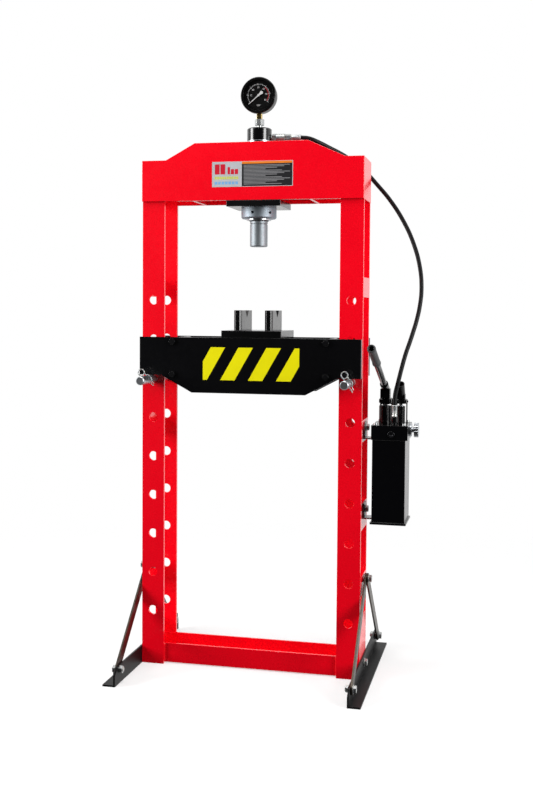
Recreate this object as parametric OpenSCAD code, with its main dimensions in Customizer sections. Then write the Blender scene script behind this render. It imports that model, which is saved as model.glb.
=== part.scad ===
// Hydraulic workshop press: a floor-standing H frame with a pinned, height-adjustable bed,
// a vertical ram under the crosshead and a hand pump on the right-hand side.
// Millimetres, +Z up, floor at z = 0, front is -Y.

/* [Frame] */
// Width of the frame over both uprights
frame_w = 635; // [560:5:720]
// Depth of the frame over the front and rear bars
frame_d = 127; // [110:1:150]
// Width of each upright's flat bars
bar_w = 65; // [55:1:80]
// Thickness of the upright bars and tie plates
bar_t = 8; // [6:1:10]
// Height of the upright bars
upright_h = 1440; // [1400:5:1440]
// Diameter of the bed pin holes
pin_hole_d = 26.5; // [26:0.5:32]
// Distance between the pin holes
hole_pitch = 112; // [100:1:120]
// Number of pin holes in each bar
hole_count = 9; // [5:1:9]
// Height of the lowest pin hole
lowest_hole_z = 156.5; // [140:0.5:170]

/* [Crosshead and base] */
// Height of the crosshead's lower edge
crosshead_z = 1331; // [1320:1:1340]
// Height of the crosshead at its ends
crosshead_end_h = 115; // [90:1:130]
// Height of the crosshead at its middle
crosshead_mid_h = 161; // [130:1:180]
// Half width of the crosshead's flat top
crosshead_top_half = 162; // [120:1:200]
// Distance from the middle to the foot of the crosshead's left slope
crosshead_left_x = 247; // [220:1:290]
// Distance from the middle to the foot of the crosshead's right slope
crosshead_right_x = 265; // [220:1:290]
// Height of the base channel's upper edges
channel_top_z = 60; // [50:1:80]
// Thickness of the base channel's walls
channel_t = 6; // [4:1:8]

/* [Ram] */
// Distance of the ram axis to the right of the frame's middle
ram_x = 8; // [0:1:20]
// Outside diameter of the ram barrel
barrel_d = 70; // [64:1:76]
// Inside diameter of the ram barrel
barrel_bore = 58; // [56:1:60]
// Diameter of the ram rod
rod_d = 50; // [44:1:54]
// Height of the rod's nose when the ram is up
rod_nose_z = 1205; // [1190:1:1230]
// Outside diameter of the ring nut under the mounting plate
ring_nut_d = 100; // [90:1:110]

/* [Gauge] */
// Height of the gauge's centre
gauge_z = 1629; // [1625:1:1640]
// Outside diameter of the gauge bezel
bezel_d = 102; // [98:1:106]
// Direction of the needle at zero, anticlockwise from +X as seen from the front
needle_zero = 220; // [200:1:240]

/* [Bed] */
// Hole that the bed is pinned at, counted from the lowest
bed_hole = 6; // [5:1:6]
// Diameter of the bed pins
bed_pin_d = 24; // [22:0.5:26]
// Thickness of the bed plates
bed_plate_t = 12; // [8:1:12]
// Gap between the uprights and the bed plates
bed_side_gap = 13; // [8:1:20]
// Height of the bed plates at their ends
bed_end_h = 108; // [90:1:120]
// Height of the bed plates at their middle
bed_mid_h = 156; // [130:1:170]

/* [Press blocks] */
// Width of the square slab on the bed
slab_w = 172; // [140:1:180]
// Thickness of the slab
slab_t = 20; // [12:1:25]
// Thickness of each V-block
block_t = 23; // [18:1:25]
// Length of each V-block
block_l = 130; // [100:1:140]
// Height of each V-block
block_h = 57; // [40:1:60]
// Gap between the two V-blocks
block_gap = 66; // [56:1:80]

/* [Pump] */
// Width of the oil reservoir
tank_w = 91; // [80:1:95]
// Depth of the oil reservoir
tank_d = 120; // [100:1:130]
// Height of the reservoir's floor
tank_z = 444; // [440:1:460]
// Height of the reservoir's upper edge
tank_top_z = 672; // [660:1:672]
// Thickness of the pump's valve block
valve_block_h = 40; // [30:1:45]
// Upward slope of the pump handle at rest
handle_slope = 21.3; // [15:0.1:30]
// Distance from the main plunger to the end of the handle grip
handle_reach = 332; // [250:1:360]

/* [Feet] */
// Length of each foot
foot_l = 566; // [480:2:600]
// Height of each foot's upright flange
foot_h = 50; // [40:1:60]
// Width of each foot's floor flange
foot_w = 36; // [30:1:50]
// Thickness of the feet and braces
foot_t = 5; // [4:1:6]
// Height of the bolt that joins each pair of braces
brace_top_z = 272; // [265:1:280]
// Distance from the middle to each brace's lower bolt
brace_foot_y = 245; // [200:1:250]

/* [Hose] */
// Outside diameter of the hydraulic hose
hose_d = 12; // [9:0.5:14]

/* [Hidden] */
$fn = 64;

// A face that is cut through gets this much extra at each side.
cut = 1;
// Radial clearance of every sliding or turning fit
fit = 0.05;

// Frame
half_w = frame_w / 2;
half_d = frame_d / 2;
bar_x = half_w - bar_w / 2;
inner_d = half_d - bar_t;
upper_tie_z = 1090;
// Centre height and height of each tie plate between the front and rear bars
both_tie_rows = [[257, 54], [692, 60], [upper_tie_z, 55]];
left_tie_rows = [[70, 86]];
right_tie_rows = [[97.5, 141], [452.5, 75]];

// Feet and their bolts
foot_bolt_z = 32;
brace_foot_z = 38;
brace_w = 30;
brace_run = sqrt(pow(brace_foot_y, 2) + pow(brace_top_z - brace_foot_z, 2));
brace_slope = atan2(brace_top_z - brace_foot_z, brace_foot_y);
frame_bolt_d = 12;
frame_bolt_hole_d = 13;
foot_face_x = half_w + foot_t;
foot_reach = half_w + foot_w;

// Crosshead
plate_t = 8;
web_x = 164;
mount_plate_w = 155;
mount_plate_t = 17;
mount_plate_z = crosshead_z - mount_plate_t;
label_w = 231;
label_h = 70;
label_z = 1403;
label_x = 5;
decal_t = 0.4;

// Ram, from the nose up
ring_nut_h = 30;
ring_nut_z = mount_plate_z - ring_nut_h;
gland_h = 20;
barrel_z = ring_nut_z - 5;
barrel_top_z = 1503;
head_top_z = 1538;
spigot_h = 10;
piston_h = 20;
piston_z = 1470;
spring_bore = 36;
spring_bore_z = 1240;
spring_mean_r = 14;
spring_wire_d = 4;
spring_turns = 20;
nose_groove_z = 1268;
port_z = 1510;
port_d = 13;

// Gauge
case_r = bezel_d / 2 - 3;
adaptor_hex_z = 1547;
stem_z = 1564;
stem_w = 14;

// Bed, carried by its pins
bed_hole_z = lowest_hole_z + bed_hole * hole_pitch;
bed_pin_z = bed_hole_z - 1.2;
bed_end_z = bed_pin_z + bed_pin_d / 2 + 0.3;
bed_top_z = bed_end_z + bed_end_h;
bed_inner_y = half_d + bed_side_gap;
bed_face_y = bed_inner_y + bed_plate_t;
bed_slope_x = 253;
bed_flat_half = 163;
bed_bolt_x = 220;
bed_bolt_zs = [bed_top_z - 12, bed_top_z - 105];
stripe_w = 41.5;
stripe_pitch = 80;
stripe_lean = 52.5;
stripe_first_x = -107;
stripe_field = [[-130, bed_top_z - 119], [146, bed_top_z - 27]];

// Bed pins and their wire clips
bed_pin_front_y = -178;
bed_pin_rear_y = 74;
clip_y = -125;
clip_wire_d = 3;
clip_leg = 27;
clip_eye_r = 9;
clip_eye_z = 24;
// Lean of the left and the right clip towards the left
clip_leans = [55, 35];

// Slab and V-blocks
slab_z = bed_top_z;
block_z = slab_z + slab_t;
block_chamfer = 6;
vee_w = 40;
vee_h = 20;

// Pump
tank_x = 391.5;
tank_wall = 3;
tank_foot_t = 6;
tank_left_x = tank_x - tank_w / 2;
valve_block_w = 100;
valve_block_d = 124;
valve_block_x = 393;
valve_block_top_z = tank_top_z + valve_block_h;
valve_block_right_x = valve_block_x + valve_block_w / 2;
pump_barrel_top_z = 762;
plunger_bore_z = 690;
plunger_z = 720;
wrist_z = 775;
// Each pump: x of its axis, barrel d, plunger d, wrist pin d, inner and outer half width
// of its fork, distance back to its fulcrum pin, fall of the fulcrum pin below the wrist pin,
// reach of the wrist pin's slot towards the front
main_pump = [374, 34, 20, 8, 7, 13.5, 32, 2.8, 6.5];
small_pump = [417.5, 24, 14, 6, 5, 12, 28, 2.5, 3.5];
socket_wall = 3;
handle_r = 8.5;
handle_line_z = 811;
handle_start = -8;
grip_r = 11.3;
grip_l = 120;
second_slope = 50;
second_socket_r = 8.6;
second_socket_l = 36;
release_z = 696;
release_knob_d = 40;
release_reach = 467.5;
filler_x = 398;
filler_z = 688;
bracket_w = 44;
bracket_t = 4;
bracket_bolt_d = 10;
// Each bracket: height of its shelf, height of its bolt, height of its upright leg
upper_bracket = [tank_top_z - bracket_t, 700, 48];
lower_bracket = [tank_z, 470, 44];

// Hose: both ends are fixed, so the route runs from the coupler to the pump fitting
coupler_end_x = 99;
crimp_l = 29;
fitting_xy = [405, -44];
lower_crimp_z = [735, 768];
hose_route = [
    [128, 0, 1510], [150, 2, 1507.5], [175, 14, 1498], [205, 40, 1484], [230, 62, 1472],
    [252, 82, 1459], [278, 94, 1440], [303, 100, 1417], [332, 100, 1385], [369, 96, 1341],
    [409, 86, 1280], [440.5, 70, 1214], [460.5, 50, 1147], [467, 34, 1090], [465, 18, 1044],
    [457.5, 4, 1000], [450, -8, 970], [441.5, -18, 940], [432, -28, 909], [421, -38, 864],
    [412, -43, 824], [406.5, -44, 800], [405, -44, 784], [405, -44, 768]
];
hose_sides = 10;

// The origin is on the floor, under the middle of the press's bounding box.
handle_front_y = -handle_reach * cos(handle_slope) - grip_r * sin(handle_slope);
origin_x = (release_reach - foot_reach) / 2;
origin_y = (foot_l / 2 + handle_front_y) / 2;

frame_red = "#d3101c";
inner_red = "#b80d18";
black_paint = "#17181a";
bright_steel = "#b9bcc0";
plain_steel = "#8d9195";
brass = "#b98f3c";

module placed() {
    translate([-origin_x, -origin_y, 0]) children();
}

// A box from its lowest corner to its highest corner
module block(low, high) {
    translate(low) cube(high - low);
}

// Round bars along each axis, starting at a point
module bar_along_x(start, l, d, sides = 64) {
    translate(start) rotate([0, 90, 0]) cylinder(h = l, d = d, $fn = sides);
}

module bar_along_y(start, l, d, sides = 64) {
    translate(start) rotate([-90, 0, 0]) cylinder(h = l, d = d, $fn = sides);
}

module bar_along_z(start, l, d, sides = 64) {
    translate(start) cylinder(h = l, d = d, $fn = sides);
}

// Corner-to-corner diameter of a hexagon from its width across the flats
function hex_d(across_flats) = across_flats / cos(30);

// An outline drawn in X and Z, with its thickness running back along +Y
module sheet_xz(front_y, thickness) {
    translate([0, front_y + thickness, 0]) rotate([90, 0, 0])
        linear_extrude(height = thickness) children();
}

// The same piece on both sides of the frame
module both_sides() {
    children();
    mirror([1, 0, 0]) children();
}

// ---- Frame ----

module upright_bar(side, front_y) {
    low_x = side < 0 ? -half_w : half_w - bar_w;
    notch_x = side < 0 ? -half_w - cut : half_w - bar_t;
    difference() {
        block([low_x, front_y, 0], [low_x + bar_w, front_y + bar_t, upright_h]);
        // Room for the crosshead's end plate
        block([notch_x, front_y - cut, crosshead_z],
              [notch_x + bar_t + cut, front_y + bar_t + cut, upright_h + cut]);
        for (k = [0 : hole_count - 1])
            bar_along_y([side * bar_x, front_y - cut, lowest_hole_z + k * hole_pitch],
                        bar_t + 2 * cut, pin_hole_d);
    }
}

module left_front_upright() {
    color(frame_red) placed() upright_bar(-1, -half_d);
}

module left_rear_upright() {
    color(inner_red) placed() upright_bar(-1, inner_d);
}

module right_front_upright() {
    color(frame_red) placed() upright_bar(1, -half_d);
}

module right_rear_upright() {
    color(inner_red) placed() upright_bar(1, inner_d);
}

// Short plates that join the front and rear bars along their outer edges
module tie_plate_set(side) {
    outer_x = side * half_w;
    low_x = min(outer_x, outer_x - side * bar_t);
    bolt_rows = side > 0
        ? [[foot_bolt_z, frame_bolt_hole_d], [brace_top_z, frame_bolt_hole_d],
           [lower_bracket[1], bracket_bolt_d + 1], [upper_bracket[1], bracket_bolt_d + 1]]
        : [[foot_bolt_z, frame_bolt_hole_d], [brace_top_z, frame_bolt_hole_d]];
    side_rows = side > 0 ? right_tie_rows : left_tie_rows;
    difference() {
        for (row = concat(both_tie_rows, side_rows))
            block([low_x, -inner_d, row[0] - row[1] / 2],
                  [low_x + bar_t, inner_d, row[0] + row[1] / 2]);
        for (bolt = bolt_rows)
            bar_along_x([low_x - cut, 0, bolt[0]], bar_t + 2 * cut, bolt[1]);
    }
}

module tie_plates() {
    color("#e0303a") placed() {
        tie_plate_set(-1);
        tie_plate_set(1);
    }
}

module crosshead_outline() {
    end_z = crosshead_z + crosshead_end_h;
    mid_z = crosshead_z + crosshead_mid_h;
    polygon([[-half_w, crosshead_z], [half_w, crosshead_z], [half_w, end_z],
             [crosshead_right_x, end_z], [crosshead_top_half, mid_z],
             [-crosshead_top_half, mid_z], [-crosshead_left_x, end_z], [-half_w, end_z]]);
}

module crosshead_front_plate() {
    color(frame_red) placed() sheet_xz(-half_d - plate_t, plate_t) crosshead_outline();
}

module crosshead_rear_plate() {
    color(frame_red) placed() sheet_xz(half_d, plate_t) crosshead_outline();
}

// Plates between the front and rear ones: one at each end and one at each side of the ram
module crosshead_cross_plates() {
    color("#e0303a") placed() both_sides() for (x = [half_w - bar_t, web_x])
        block([x, -half_d, crosshead_z], [x + bar_t, half_d, crosshead_z + crosshead_end_h]);
}

module base_channel() {
    channel_x = half_w - bar_t;
    floor_z = 4;
    color(frame_red) placed() difference() {
        block([-channel_x, -inner_d, floor_z], [channel_x, inner_d, channel_top_z]);
        block([-channel_x - cut, -inner_d + channel_t, floor_z + channel_t],
              [channel_x + cut, inner_d - channel_t, channel_top_z + cut]);
    }
}

// ---- Feet, braces and their bolts ----

module right_foot_angle() {
    chamfer = 22;
    difference() {
        union() {
            block([half_w, -foot_l / 2, 0], [half_w + foot_w, foot_l / 2, foot_t]);
            block([half_w, -foot_l / 2, 0], [foot_face_x, foot_l / 2, foot_h]);
        }
        // The upper corners of the upright flange are cut off
        for (end = [-1, 1])
            translate([half_w - cut, end * foot_l / 2, foot_h]) rotate([45, 0, 0])
                cube([foot_t + 2 * cut, chamfer * sqrt(2), chamfer * sqrt(2)], center = true);
        for (y = [-brace_foot_y, brace_foot_y])
            bar_along_x([half_w - cut, y, brace_foot_z], foot_t + 2 * cut, frame_bolt_hole_d);
        bar_along_x([half_w - cut, 0, foot_bolt_z], foot_t + 2 * cut, frame_bolt_hole_d);
    }
}

module right_foot() {
    color(black_paint) placed() right_foot_angle();
}

module left_foot() {
    color(black_paint) placed() mirror([1, 0, 0]) right_foot_angle();
}

// One brace from a foot's end up to the upright, its inner face at x
module brace(x, direction) {
    tilt = direction < 0 ? brace_slope : 180 - brace_slope;
    translate([x, direction * brace_foot_y, brace_foot_z]) rotate([tilt, 0, 0])
        difference() {
            union() {
                block([0, 0, -brace_w / 2], [foot_t, brace_run, brace_w / 2]);
                for (y = [0, brace_run]) bar_along_x([0, y, 0], foot_t, brace_w);
            }
            for (y = [0, brace_run])
                bar_along_x([-cut, y, 0], foot_t + 2 * cut, frame_bolt_hole_d);
        }
}

module foot_braces() {
    color("#59605f") placed() both_sides() {
        brace(foot_face_x, -1);
        brace(foot_face_x + foot_t, 1);
    }
}

// A bolt along X: nut, shank, washer and head, gripping from inner_x to outer_x
module frame_bolt(y, z, inner_x, outer_x) {
    nut_h = 9;
    washer_t = 2;
    head_h = 7.5;
    end_x = inner_x - nut_h - 2;
    bar_along_x([inner_x - nut_h, y, z], nut_h, hex_d(18), 6);
    bar_along_x([end_x, y, z], outer_x + washer_t - end_x, frame_bolt_d);
    bar_along_x([outer_x, y, z], washer_t, 24);
    bar_along_x([outer_x + washer_t, y, z], head_h, hex_d(18), 6);
}

module spacer_washer(x, y, z) {
    difference() {
        bar_along_x([x, y, z], foot_t, 24);
        bar_along_x([x - cut, y, z], foot_t + 2 * cut, frame_bolt_d);
    }
}

module foot_bolts() {
    inner_x = half_w - bar_t;
    color(plain_steel) placed() both_sides() {
        frame_bolt(0, foot_bolt_z, inner_x, foot_face_x);
        frame_bolt(0, brace_top_z, inner_x, foot_face_x + 2 * foot_t);
        frame_bolt(-brace_foot_y, brace_foot_z, half_w, foot_face_x + foot_t);
        frame_bolt(brace_foot_y, brace_foot_z, half_w, foot_face_x + 2 * foot_t);
        spacer_washer(half_w, 0, brace_top_z);
        spacer_washer(foot_face_x, brace_foot_y, brace_foot_z);
    }
}

// ---- Ram ----

module ram_mount_plate() {
    y = half_d + plate_t;
    color(black_paint) placed() difference() {
        block([ram_x - mount_plate_w / 2, -y, mount_plate_z],
              [ram_x + mount_plate_w / 2, y, crosshead_z]);
        bar_along_z([ram_x, 0, mount_plate_z - cut], mount_plate_t + 2 * cut, barrel_d);
    }
}

module ram_barrel() {
    color(bright_steel) placed() difference() {
        bar_along_z([ram_x, 0, barrel_z], barrel_top_z - barrel_z, barrel_d);
        bar_along_z([ram_x, 0, barrel_z - cut], barrel_top_z - barrel_z + 2 * cut, barrel_bore);
    }
}

// The closed upper end, with the port for the hose coupler in its right-hand side
module ram_head() {
    port_depth = 15;
    color(black_paint) placed() difference() {
        union() {
            bar_along_z([ram_x, 0, barrel_top_z], head_top_z - barrel_top_z - 3, barrel_d);
            translate([ram_x, 0, head_top_z - 3])
                cylinder(h = 3, d1 = barrel_d, d2 = barrel_d - 6);
            bar_along_z([ram_x, 0, barrel_top_z - spigot_h], spigot_h, barrel_bore);
        }
        bar_along_x([ram_x + barrel_d / 2 - port_depth, 0, port_z], port_depth + cut, port_d);
    }
}

// Round nut with hook-spanner holes, holding the barrel in the mounting plate
module ram_ring_nut() {
    spanner_d = 8;
    spanner_depth = 9;
    spanner_holes = 6;
    color(bright_steel) placed() translate([ram_x, 0, ring_nut_z]) difference() {
        union() {
            cylinder(h = 3, d1 = ring_nut_d - 6, d2 = ring_nut_d);
            translate([0, 0, 3]) cylinder(h = ring_nut_h - 3, d = ring_nut_d);
        }
        translate([0, 0, -cut]) cylinder(h = ring_nut_h + 2 * cut, d = barrel_d);
        for (k = [0 : spanner_holes - 1]) rotate([0, 0, k * 360 / spanner_holes + 22])
            translate([ring_nut_d / 2 - spanner_depth, 0, ring_nut_h / 2]) rotate([0, 90, 0])
                cylinder(h = spanner_depth + cut, d = spanner_d);
    }
}

module ram_gland() {
    color(plain_steel) placed() difference() {
        bar_along_z([ram_x, 0, barrel_z], gland_h, barrel_bore);
        bar_along_z([ram_x, 0, barrel_z - cut], gland_h + 2 * cut, rod_d + 2 * fit);
    }
}

// Rod, hollow above its nose to take the return spring
module ram_rod() {
    chamfer = 2;
    groove_w = 2;
    groove_depth = 1.5;
    color(bright_steel) placed() translate([ram_x, 0, 0]) difference() {
        union() {
            translate([0, 0, rod_nose_z])
                cylinder(h = chamfer, d1 = rod_d - 2 * chamfer, d2 = rod_d);
            translate([0, 0, rod_nose_z + chamfer])
                cylinder(h = piston_z - rod_nose_z - chamfer, d = rod_d);
        }
        translate([0, 0, spring_bore_z])
            cylinder(h = piston_z - spring_bore_z + cut, d = spring_bore);
        translate([0, 0, nose_groove_z]) difference() {
            cylinder(h = groove_w, d = rod_d + 2 * cut);
            translate([0, 0, -cut])
                cylinder(h = groove_w + 2 * cut, d = rod_d - 2 * groove_depth);
        }
    }
}

module ram_piston() {
    color(plain_steel) placed() difference() {
        bar_along_z([ram_x, 0, piston_z], piston_h, barrel_bore - 2 * fit);
        bar_along_z([ram_x, 0, piston_z - cut], piston_h + 2 * cut, spring_bore);
    }
}

// Rings of a tube swept along points: one ring of corners per point, square to the path
function path_tangent(points, i) =
    let (a = points[max(i - 1, 0)], b = points[min(i + 1, len(points) - 1)])
    (b - a) / norm(b - a);

function ring_corners(centre, tangent, radius, sides) =
    let (side_raw = cross([0, 0.3, 1], tangent), side = side_raw / norm(side_raw),
         up = cross(tangent, side))
    [for (k = [0 : sides - 1])
        centre + radius * (cos(k * 360 / sides) * side + sin(k * 360 / sides) * up)];

module swept_tube(points, radius, sides, first_tangent, last_tangent) {
    last = len(points) - 1;
    corners = [for (i = [0 : last])
        let (tangent = i == 0 ? first_tangent
                     : i == last ? last_tangent : path_tangent(points, i))
        each ring_corners(points[i], tangent, radius, sides)];
    walls = [for (i = [0 : last - 1], k = [0 : sides - 1])
        let (a = i * sides + k, b = i * sides + (k + 1) % sides)
        [a, a + sides, b + sides, b]];
    start_cap = [[for (k = [0 : sides - 1]) k]];
    end_cap = [[for (k = [0 : sides - 1]) last * sides + sides - 1 - k]];
    polyhedron(points = corners, faces = concat(walls, start_cap, end_cap), convexity = 8);
}

// Extension spring inside the hollow rod, which pulls the ram up
module return_spring() {
    steps = 14;
    low_z = spring_bore_z + 4;
    high_z = barrel_top_z - spigot_h - 3;
    total = spring_turns * steps;
    coil = [for (i = [0 : total])
        [ram_x + spring_mean_r * cos(i * 360 / steps), spring_mean_r * sin(i * 360 / steps),
         low_z + (high_z - low_z) * i / total]];
    start_dir = path_tangent(coil, 0);
    end_dir = path_tangent(coil, total);
    color(plain_steel) placed()
        swept_tube(coil, spring_wire_d / 2, 6, start_dir, end_dir);
}

module label_plate() {
    color("#c9ccd0") placed()
        sheet_xz(-half_d - plate_t - decal_t, decal_t)
            translate([label_x - label_w / 2, label_z - label_h / 2]) square([label_w, label_h]);
}

// ---- Gauge ----

module gauge_adaptor() {
    color(bright_steel) placed() {
        bar_along_z([ram_x, 0, head_top_z], adaptor_hex_z - head_top_z, 14);
        bar_along_z([ram_x, 0, adaptor_hex_z], stem_z - adaptor_hex_z, hex_d(24), 6);
    }
}

// Square stem, its upper end shaped to the round case
module gauge_stem() {
    color(brass) placed() difference() {
        block([ram_x - stem_w / 2, -stem_w / 2, stem_z],
              [ram_x + stem_w / 2, stem_w / 2, gauge_z - case_r + 3]);
        bar_along_y([ram_x, -stem_w, gauge_z], 2 * stem_w, 2 * case_r);
    }
}

module gauge_ring(outline) {
    translate([ram_x, 0, gauge_z]) rotate([90, 0, 0])
        rotate_extrude() polygon(outline);
}

// Radius and distance towards the front, turned about the gauge's axis
module gauge_case() {
    color(black_paint) placed() gauge_ring([
        [0, -18], [case_r - 3, -18], [case_r, -15], [case_r, 16],
        [case_r - 3, 16], [case_r - 3, 13], [0, 13]]);
}

module gauge_bezel() {
    outer = bezel_d / 2;
    color("#26282b") placed() gauge_ring([
        [case_r, 7], [outer, 7], [outer, 18.5], [outer - 2, 20.5], [outer - 8, 20.5],
        [outer - 7, 19], [case_r - 3, 19], [case_r - 3, 16], [case_r, 16]]);
}

module gauge_dial() {
    color("#101113") placed() gauge_ring([[2, 13], [44, 13], [44, 14], [2, 14]]);
}

module gauge_lens() {
    color("#dfe6ea", 0.35) placed() gauge_ring([[0, 17.5], [45, 17.5], [45, 19], [0, 19]]);
}

// Tapered pointer with a counterweight, on a short spindle
module gauge_needle() {
    tip = 38;
    tail = 13;
    color("white") placed() translate([ram_x, 0, gauge_z]) {
        rotate([90, 0, 0]) translate([0, 0, 15.8]) linear_extrude(height = 0.8)
            rotate(needle_zero) polygon([[0, 1.5], [tip, 0.4], [tip, -0.4], [0, -1.5],
                                         [-tail, -5], [-tail - 3.5, 0], [-tail, 5]]);
        rotate([90, 0, 0]) translate([0, 0, 15.4]) cylinder(h = 1.6, d = 6);
        rotate([90, 0, 0]) translate([0, 0, 13.2]) cylinder(h = 2.3, d = 3);
    }
}

// ---- Hose and its fittings ----

module hose_coupler() {
    nipple_x = ram_x + barrel_d / 2 - 15;
    color(bright_steel) placed() {
        bar_along_x([nipple_x, 0, port_z], 46 - nipple_x, port_d);
        bar_along_x([46, 0, port_z], 12, hex_d(22), 6);
        bar_along_x([58, 0, port_z], 24, 24);
        bar_along_x([82, 0, port_z], coupler_end_x - 82, hex_d(19), 6);
    }
}

module crimp_sleeves() {
    color(bright_steel) placed() {
        bar_along_x([coupler_end_x, 0, port_z], crimp_l, 17);
        bar_along_z([fitting_xy[0], fitting_xy[1], lower_crimp_z[0]],
                    lower_crimp_z[1] - lower_crimp_z[0], 15);
    }
}

module pump_hose_fitting() {
    hex_z = 721;
    color(black_paint) placed() {
        bar_along_z([fitting_xy[0], fitting_xy[1], valve_block_top_z],
                    hex_z - valve_block_top_z, 14);
        bar_along_z([fitting_xy[0], fitting_xy[1], hex_z],
                    lower_crimp_z[0] - hex_z, hex_d(17), 6);
    }
}

// A smooth curve through the route's own points, with one point added in each gap
function between(a, b, c, d) = (9 * (b + c) - a - d) / 16;
function smoothed(p) =
    let (last = len(p) - 1)
    [for (i = [0 : last - 1], half = [0, 1])
        half == 0 ? p[i]
                  : between(p[max(i - 1, 0)], p[i], p[i + 1], p[min(i + 2, last)]),
     p[last]];

module hydraulic_hose() {
    color("#141414") placed()
        swept_tube(smoothed(hose_route), hose_d / 2, hose_sides, [1, 0, 0], [0, 0, -1]);
}

// ---- Pump ----

module pump_reservoir() {
    lip = 4;
    y = tank_d / 2;
    right_x = tank_left_x + tank_w;
    color(black_paint) placed() difference() {
        union() {
            block([tank_left_x, -y, tank_z], [right_x, y, tank_top_z]);
            block([tank_left_x - lip, -y - lip, tank_z - tank_foot_t],
                  [right_x + lip, y + lip, tank_z]);
        }
        block([tank_left_x + tank_wall, -y + tank_wall, tank_z + tank_wall],
              [right_x - tank_wall, y - tank_wall, tank_top_z + cut]);
    }
}

module pump_valve_block() {
    depth = valve_block_top_z - plunger_bore_z + cut;
    color(black_paint) placed() difference() {
        block([valve_block_x - valve_block_w / 2, -valve_block_d / 2, tank_top_z],
              [valve_block_right_x, valve_block_d / 2, valve_block_top_z]);
        for (pump = [main_pump, small_pump])
            bar_along_z([pump[0], 0, plunger_bore_z], depth, pump[2] + 2 * fit);
    }
}

module pump_barrels() {
    color(black_paint) placed() for (pump = [main_pump, small_pump]) difference() {
        bar_along_z([pump[0], 0, valve_block_top_z],
                    pump_barrel_top_z - valve_block_top_z, pump[1]);
        bar_along_z([pump[0], 0, valve_block_top_z - cut],
                    pump_barrel_top_z - valve_block_top_z + 2 * cut, pump[2] + 2 * fit);
    }
}

// Two posts beside each lever, joined by the pin that the lever rocks on
module fulcrum_posts() {
    post_gap = 0.5;
    color(black_paint) placed() for (pump = [main_pump, small_pump]) {
        inner = pump[5] + post_gap;
        thickness = pump[3] / 2;
        fulcrum_z = wrist_z - pump[7];
        for (side = [-1, 1]) {
            low_x = pump[0] + (side > 0 ? inner : -inner - thickness);
            block([low_x, pump[6] - pump[3], valve_block_top_z],
                  [low_x + thickness, pump[6] + pump[3], fulcrum_z]);
            bar_along_x([low_x, pump[6], fulcrum_z], thickness, 2 * pump[3]);
        }
        bar_along_x([pump[0] - inner - thickness - 2, pump[6], fulcrum_z],
                    2 * (inner + thickness + 2), pump[3]);
    }
}

// Round plunger with a flat tongue and a wrist pin through the lever's fork
module plunger(pump) {
    r = pump[3] - 0.5;
    tongue_z = wrist_z - 2 * r;
    pin_reach = pump[5] + 3.5;
    translate([pump[0], 0, 0]) {
        bar_along_z([0, 0, plunger_z], tongue_z - plunger_z, pump[2]);
        intersection() {
            union() {
                block([-pump[4] + 0.5, -r, tongue_z - cut], [pump[4] - 0.5, r, wrist_z]);
                bar_along_x([-pump[4] + 0.5, 0, wrist_z], 2 * pump[4] - 1, 2 * r);
            }
            bar_along_z([0, 0, tongue_z - cut], 4 * r, pump[2]);
        }
        bar_along_x([-pin_reach, 0, wrist_z], 2 * pin_reach, pump[3]);
        for (side = [-1, 1])
            bar_along_x([side > 0 ? pump[5] + 0.5 : -pin_reach, 0, wrist_z],
                        3, pump[3] + 4);
    }
}

module main_plunger() {
    color(bright_steel) placed() plunger(main_pump);
}

module small_plunger() {
    color(bright_steel) placed() plunger(small_pump);
}

// A forked lever: cheeks from the fulcrum to the wrist pin, and a socket for the handle.
// The socket's axis leans forward and up by slope from line_z above the plunger.
module lever(pump, slope, line_z, socket_r, socket_start, socket_end) {
    fulcrum_z = wrist_z - pump[7];
    slot_h = pump[3] + 1.8;
    slot_front = -pump[8];
    slot_rear = 1.5;
    cheek_r = pump[3] + 1;
    outer = pump[5];
    translate([pump[0], 0, 0]) difference() {
        union() {
            bar_along_x([-outer, pump[6], fulcrum_z], 2 * outer, 2 * cheek_r);
            bar_along_x([-outer, slot_front + 1, wrist_z], 2 * outer, 2 * cheek_r);
            block([-outer, slot_front + 1, wrist_z - cheek_r],
                  [outer, pump[6], wrist_z + cheek_r]);
            block([-outer, -cheek_r, wrist_z], [outer, 2 * cheek_r, line_z - 2]);
            translate([0, 0, line_z]) rotate([90 - slope, 0, 0])
                translate([0, 0, socket_start])
                    cylinder(h = socket_end - socket_start, r = socket_r + socket_wall);
        }
        // Room between the cheeks for the plunger's tongue
        block([-pump[4], -3 * cheek_r, wrist_z - 3 * cheek_r],
              [pump[4], pump[6] - cheek_r - 2, wrist_z + cheek_r]);
        bar_along_x([-outer - cut, pump[6], fulcrum_z], 2 * outer + 2 * cut,
                    pump[3] + 2 * fit);
        for (y = [slot_front, slot_rear])
            bar_along_x([-outer - cut, y, wrist_z], 2 * outer + 2 * cut, slot_h);
        block([-outer - cut, slot_front, wrist_z - slot_h / 2],
              [outer + cut, slot_rear, wrist_z + slot_h / 2]);
        translate([0, 0, line_z]) rotate([90 - slope, 0, 0])
            translate([0, 0, socket_start + 5])
                cylinder(h = socket_end - socket_start, r = socket_r);
    }
}

module pump_lever() {
    color(black_paint) placed()
        lever(main_pump, handle_slope, handle_line_z, handle_r, handle_start - 5, 38);
}

module second_lever() {
    color(black_paint) placed()
        lever(small_pump, second_slope, 797, second_socket_r, 0, second_socket_l);
}

// Pieces on the handle, from their start to their end along its axis
module along_handle(start) {
    translate([main_pump[0], 0, handle_line_z]) rotate([90 - handle_slope, 0, 0])
        translate([0, 0, start]) children();
}

module handle_tube() {
    wall = 2.5;
    l = handle_reach - 6 - handle_start;
    color("#3a3c3f") placed() along_handle(handle_start) difference() {
        cylinder(h = l, r = handle_r);
        translate([0, 0, -cut]) cylinder(h = l + 2 * cut, r = handle_r - wall);
    }
}

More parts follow.
